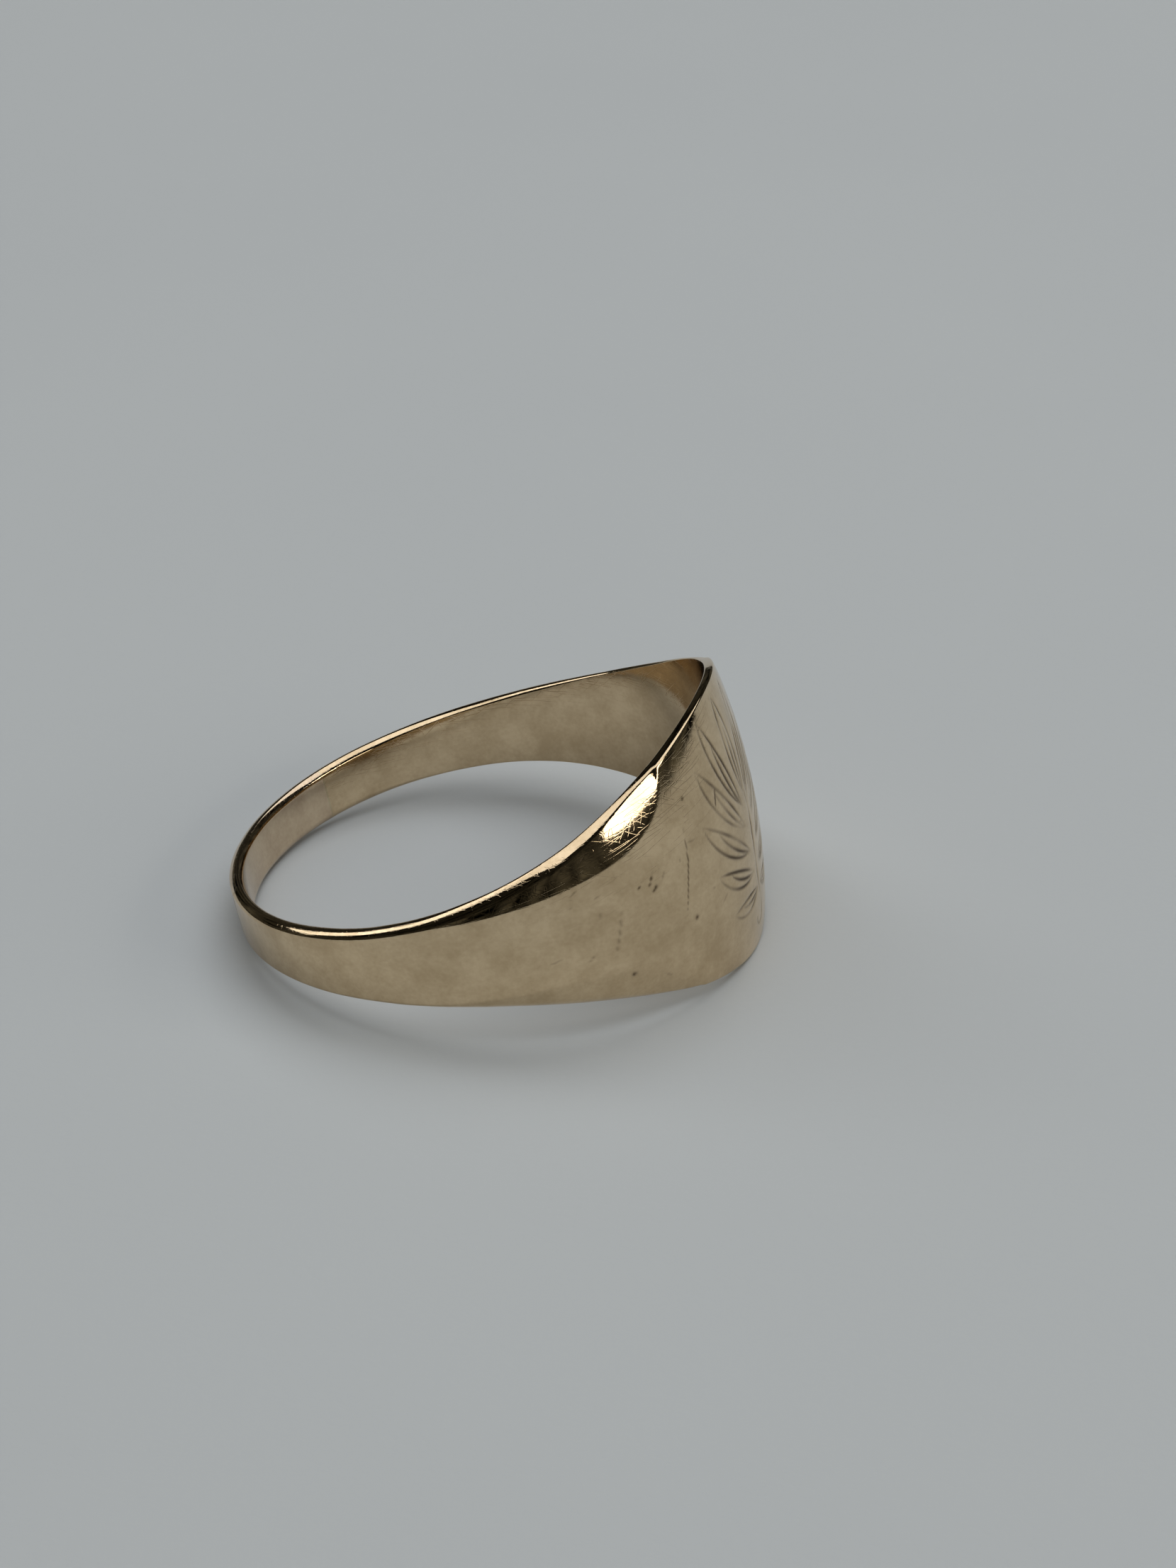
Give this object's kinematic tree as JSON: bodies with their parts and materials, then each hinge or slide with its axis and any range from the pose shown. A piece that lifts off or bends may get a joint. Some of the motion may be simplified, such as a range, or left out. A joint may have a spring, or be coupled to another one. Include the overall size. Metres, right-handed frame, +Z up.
{
  "type": "signet ring",
  "caption": "Lightweight gold signet ring with a soft oval face, bevelled shoulders that flare from a narrow band, and a small sizing piece soldered in behind the finger.",
  "frame": {"origin": "centre of the finger bore", "axes": "the ring lies on its side as it rests on a table: +X towards the head with its face, +Z up from the table, +Y across the band"},
  "size_m": [0.0203, 0.02, 0.0103],
  "materials": {
    "gold": "worn polished 9 carat yellow gold",
    "sizing_gold": "worn polished 9 carat yellow gold sizing stock",
    "gold_solder": "pale hard gold solder, filed and polished flush"
  },
  "bodies": {
    "root": {"signet_blank": "gold", "sizing_piece": "sizing_gold", "solder_seam_near": "gold_solder", "solder_seam_far": "gold_solder"}
  },
  "joints": []
}
